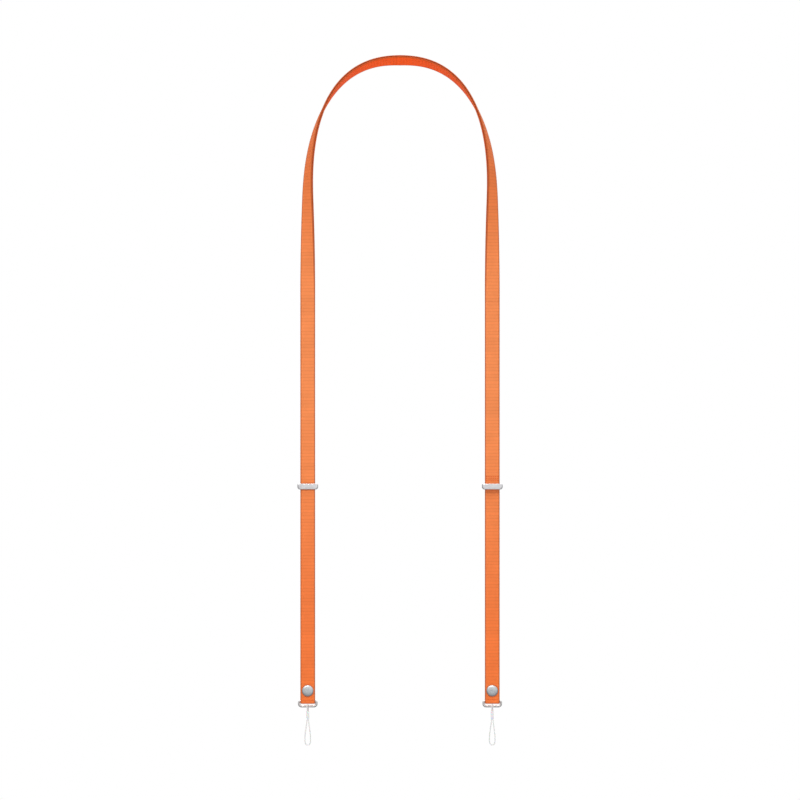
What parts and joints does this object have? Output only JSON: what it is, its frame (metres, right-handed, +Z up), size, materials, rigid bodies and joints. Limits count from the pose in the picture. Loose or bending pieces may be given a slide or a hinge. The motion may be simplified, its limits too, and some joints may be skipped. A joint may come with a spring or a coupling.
{
  "type": "strap lanyard",
  "caption": "Adjustable webbing neck lanyard with sliding adjusters, snap-closed strap ends, wire rings and thin cord loops for a phone or small camera.",
  "frame": {"origin": "middle of the straps' underside at the top of the arch, where they rest on the neck", "axes": "+Z up along the hanging legs, +X to the side of the right leg, -Y the front"},
  "size_m": [0.1776, 0.0574, 0.5984],
  "materials": {
    "webbing": "orange ribbed woven webbing",
    "thread": "orange sewing thread",
    "slider_metal": "satin nickel",
    "ring_wire": "satin nickel wire",
    "snap_metal": "satin nickel",
    "spring_wire": "spring wire",
    "cord": "pale braided nylon cord",
    "cord_neck": "clear white moulding"
  },
  "bodies": {
    "root": {"left_strap_leg": "webbing", "left_strap_left_side": "webbing", "left_strap_left_shoulder": "webbing", "left_strap_neck": "webbing", "left_strap_right_shoulder": "webbing", "left_strap_right_side": "webbing", "left_strap_ring_fold": "webbing", "right_strap_far_leg": "webbing", "left_snap_cap": "snap_metal", "left_snap_socket": "snap_metal", "left_snap_spring": "spring_wire", "right_strap_leg": "webbing", "right_strap_left_side": "webbing", "right_strap_left_shoulder": "webbing", "right_strap_neck": "webbing", "right_strap_right_shoulder": "webbing", "right_strap_right_side": "webbing", "right_strap_ring_fold": "webbing", "left_strap_far_leg": "webbing", "right_snap_cap": "snap_metal", "right_snap_socket": "snap_metal", "right_snap_spring": "spring_wire"},
    "left_slider": {"left_slider_frame": "slider_metal", "left_slider_pin": "slider_metal", "right_strap_slider_loop": "webbing", "left_slider_stitching": "thread"},
    "left_flap": {"left_strap_flap": "webbing", "left_snap_stud": "snap_metal", "left_snap_post": "snap_metal"},
    "left_ring": {"left_ring": "ring_wire"},
    "left_cord": {"left_cord_loop": "cord", "left_cord_neck": "cord_neck"},
    "right_slider": {"right_slider_frame": "slider_metal", "right_slider_pin": "slider_metal", "left_strap_slider_loop": "webbing", "right_slider_stitching": "thread"},
    "right_flap": {"right_strap_flap": "webbing", "right_snap_stud": "snap_metal", "right_snap_post": "snap_metal"},
    "right_ring": {"right_ring": "ring_wire"},
    "right_cord": {"right_cord_loop": "cord", "right_cord_neck": "cord_neck"}
  },
  "joints": [
    {"name": "left_slider_slide", "type": "slide", "parent": "root", "child": "left_slider", "axis": [0, 0, 1], "range_m": [-0.15, 0.09], "deforming": ["right_strap_far_leg"]},
    {"name": "left_flap_hinge", "type": "hinge", "parent": "root", "child": "left_flap", "pos_m": [-0.0798, -0.04423, -0.5543], "axis": [-1, 0, 0], "range_deg": [0, 90], "deforming": ["left_strap_ring_fold"]},
    {"name": "left_ring_swing", "type": "hinge", "parent": "root", "child": "left_ring", "pos_m": [-0.0798, -0.04423, -0.5543], "axis": [-1, 0, 0], "range_deg": [-75, 75]},
    {"name": "left_cord_swing", "type": "hinge", "parent": "left_ring", "child": "left_cord", "pos_m": [-0.0798, -0.04423, -0.5588], "axis": [-1, 0, 0], "range_deg": [-60, 60]},
    {"name": "right_slider_slide", "type": "slide", "parent": "root", "child": "right_slider", "axis": [0, 0, 1], "range_m": [-0.15, 0.09], "deforming": ["left_strap_far_leg"]},
    {"name": "right_flap_hinge", "type": "hinge", "parent": "root", "child": "right_flap", "pos_m": [0.0798, -0.04293, -0.5543], "axis": [-1, 0, 0], "range_deg": [0, 90], "deforming": ["right_strap_ring_fold"]},
    {"name": "right_ring_swing", "type": "hinge", "parent": "root", "child": "right_ring", "pos_m": [0.0798, -0.04293, -0.5543], "axis": [-1, 0, 0], "range_deg": [-75, 75]},
    {"name": "right_cord_swing", "type": "hinge", "parent": "right_ring", "child": "right_cord", "pos_m": [0.0798, -0.04293, -0.5588], "axis": [-1, 0, 0], "range_deg": [-60, 60]}
  ],
  "couplings": [
    {"joint": "right_slider_slide", "follows": "left_slider_slide", "ratio": 1}
  ]
}
